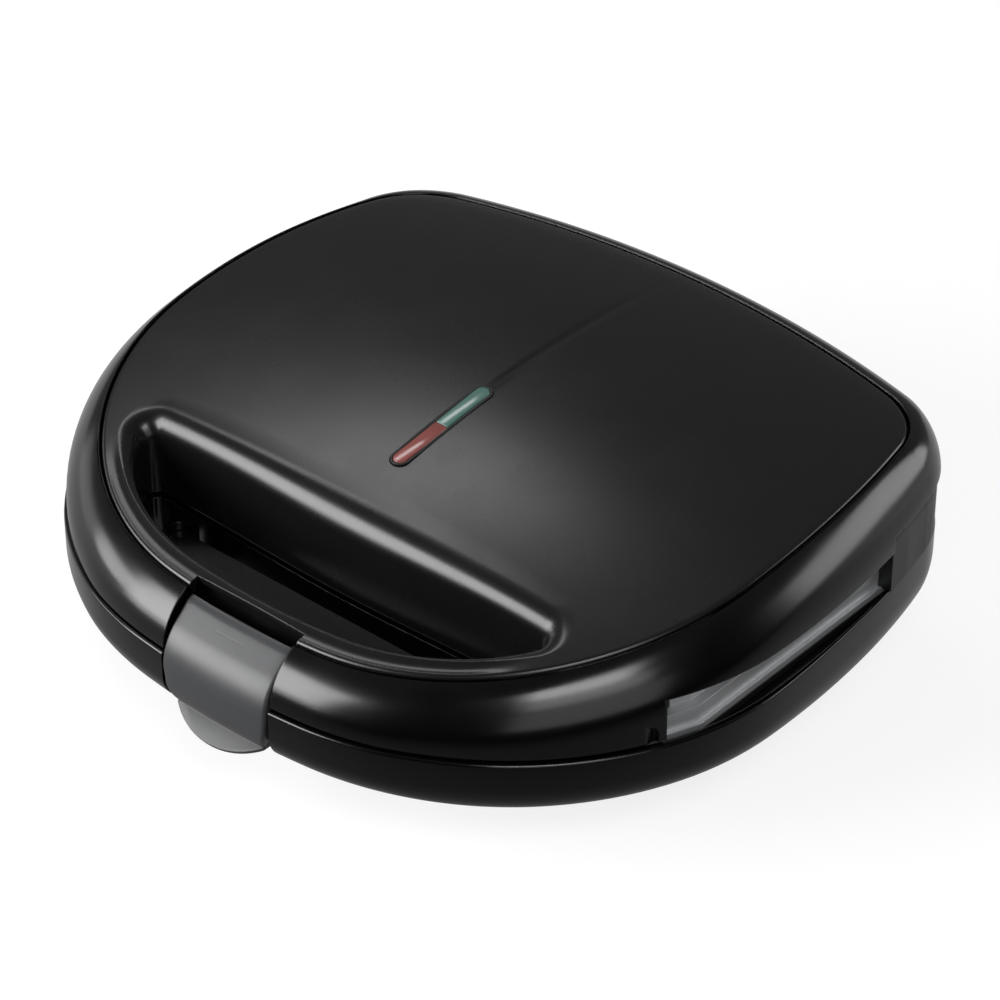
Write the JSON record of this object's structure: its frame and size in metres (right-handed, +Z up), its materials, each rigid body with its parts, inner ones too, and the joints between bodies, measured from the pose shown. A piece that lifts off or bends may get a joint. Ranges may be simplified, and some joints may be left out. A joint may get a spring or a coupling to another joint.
{
  "type": "sandwich toaster",
  "caption": "Closed clamshell sandwich toaster with a domed lid, a finger opening behind the front grip, a front latch, steam openings at the sides and pocketed plates.",
  "frame": {"origin": "middle of the footprint, on the table under the feet", "axes": "+X to the right as the user faces the latch, +Y toward the hinge at the rear, +Z up"},
  "size_m": [0.23, 0.2114, 0.0774],
  "materials": {
    "cover_black": "gloss",
    "body_black": "gloss",
    "inner_black": "matte",
    "lens_red": "gloss",
    "lens_green": "gloss",
    "lamp_glass": "clear",
    "plate_coating": "satin",
    "element_steel": "satin",
    "reflector_sheet": "satin",
    "ceramic": "matte",
    "zinc_steel": "satin",
    "latch_grey": "satin",
    "rubber_black": "matte"
  },
  "bodies": {
    "base": {"lower_housing": "body_black", "lower_plate": "plate_coating", "lower_element": "element_steel", "lower_reflector": "reflector_sheet", "lower_screws": "zinc_steel", "grip_screws": "zinc_steel", "hinge_pin": "zinc_steel", "feet": "rubber_black", "cord_gland": "rubber_black", "terminal_block": "ceramic"},
    "lid": {"top_cover": "cover_black", "upper_ring": "body_black", "upper_frame": "inner_black", "lens_red": "lens_red", "lens_green": "lens_green", "lens_holder": "inner_black", "lamps": "lamp_glass", "upper_plate": "plate_coating", "upper_element": "element_steel", "upper_reflector": "reflector_sheet", "thermostat": "ceramic", "thermal_fuse": "ceramic", "upper_screws": "zinc_steel", "latch_pin": "zinc_steel"},
    "latch": {"latch": "latch_grey", "latch_spring": "zinc_steel"}
  },
  "joints": [
    {"name": "lid_hinge", "type": "hinge", "parent": "base", "child": "lid", "pos_m": [0, 0.102, 0.056], "axis": [-1, 0, 0], "range_deg": [0, 100]},
    {"name": "latch_hinge", "type": "hinge", "parent": "lid", "child": "latch", "pos_m": [0, -0.0925, 0.047], "axis": [-1, 0, 0], "range_deg": [0, 28], "stiffness_Nm_per_rad": 0.03}
  ]
}
